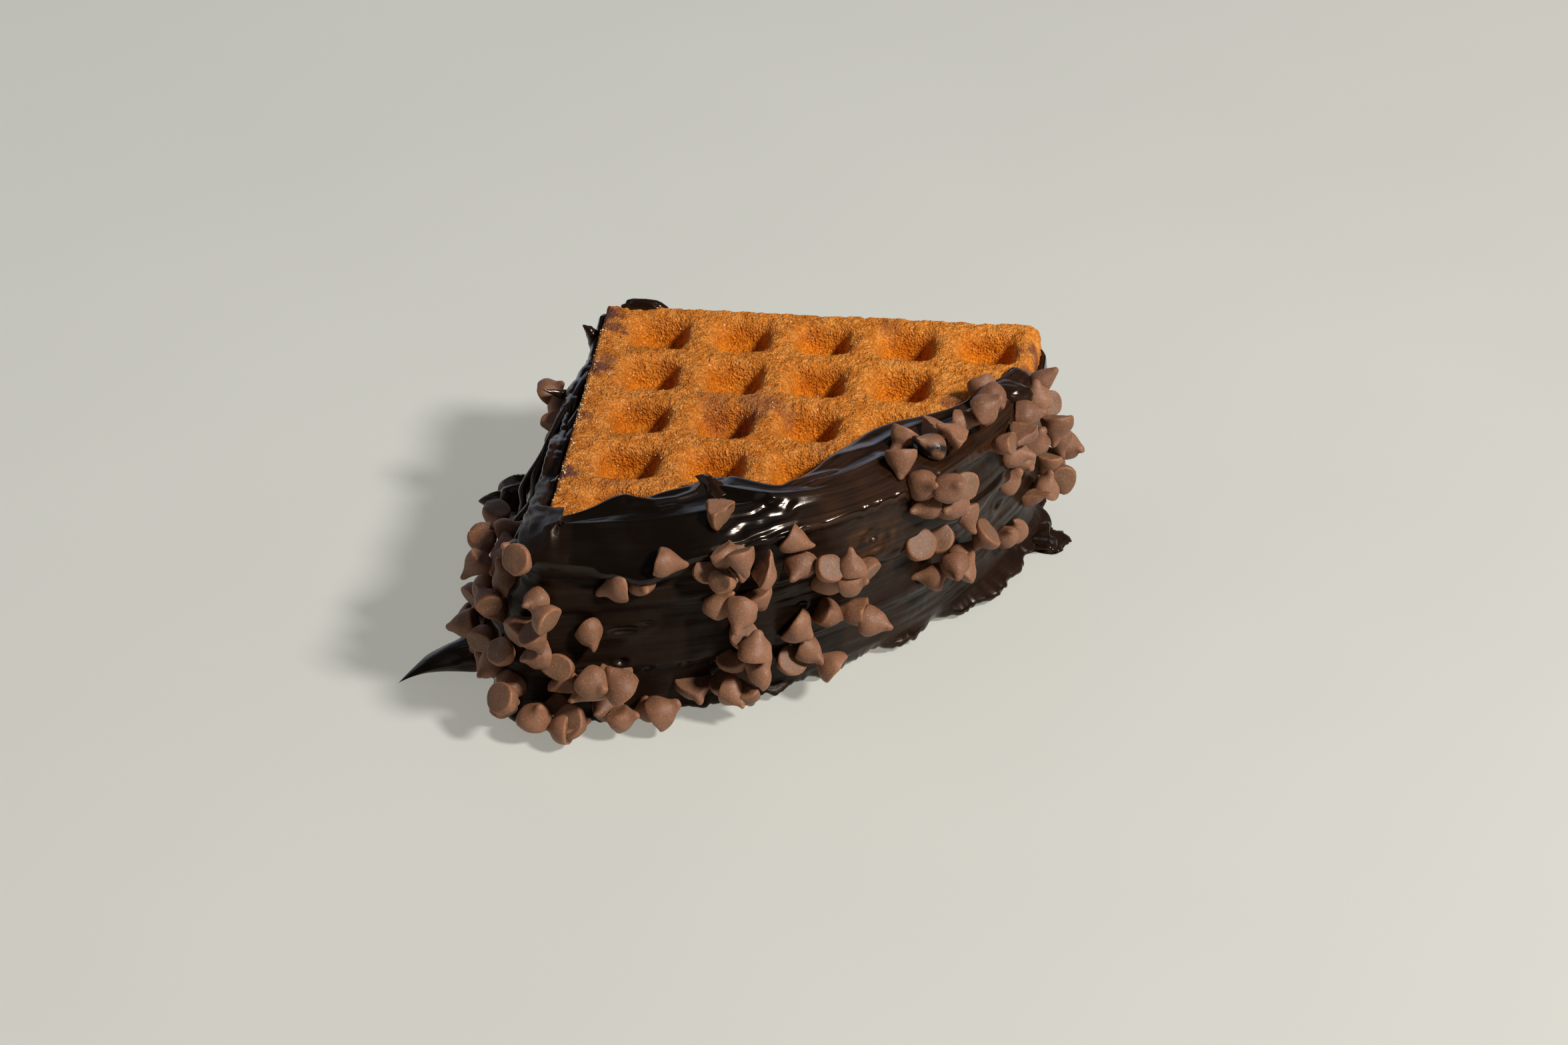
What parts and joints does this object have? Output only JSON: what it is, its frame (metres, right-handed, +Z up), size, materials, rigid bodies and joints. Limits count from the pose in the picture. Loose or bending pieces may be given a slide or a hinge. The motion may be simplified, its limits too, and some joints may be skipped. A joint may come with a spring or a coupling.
{
  "type": "belgian waffle",
  "caption": "Quarter of a round waffle, stacked in layers with chocolate spread between and around them and strewn with chocolate chips.",
  "frame": {"origin": "on the resting face, at a crossing of the bottom layer's ribs", "axes": "+Z up; +Y towards the back, along the straight left cut; +X to the right, along the straight back cut"},
  "size_m": [0.12, 0.1053, 0.0497],
  "materials": {
    "baked_waffle": "baked crumb, rough and dry",
    "dark_chocolate": "soft dark chocolate spread, glossy where smooth"
  },
  "bodies": {
    "root": {"chocolate": "dark_chocolate", "waffle_bottom": "baked_waffle", "waffle_middle": "baked_waffle", "waffle_top": "baked_waffle"}
  },
  "joints": []
}
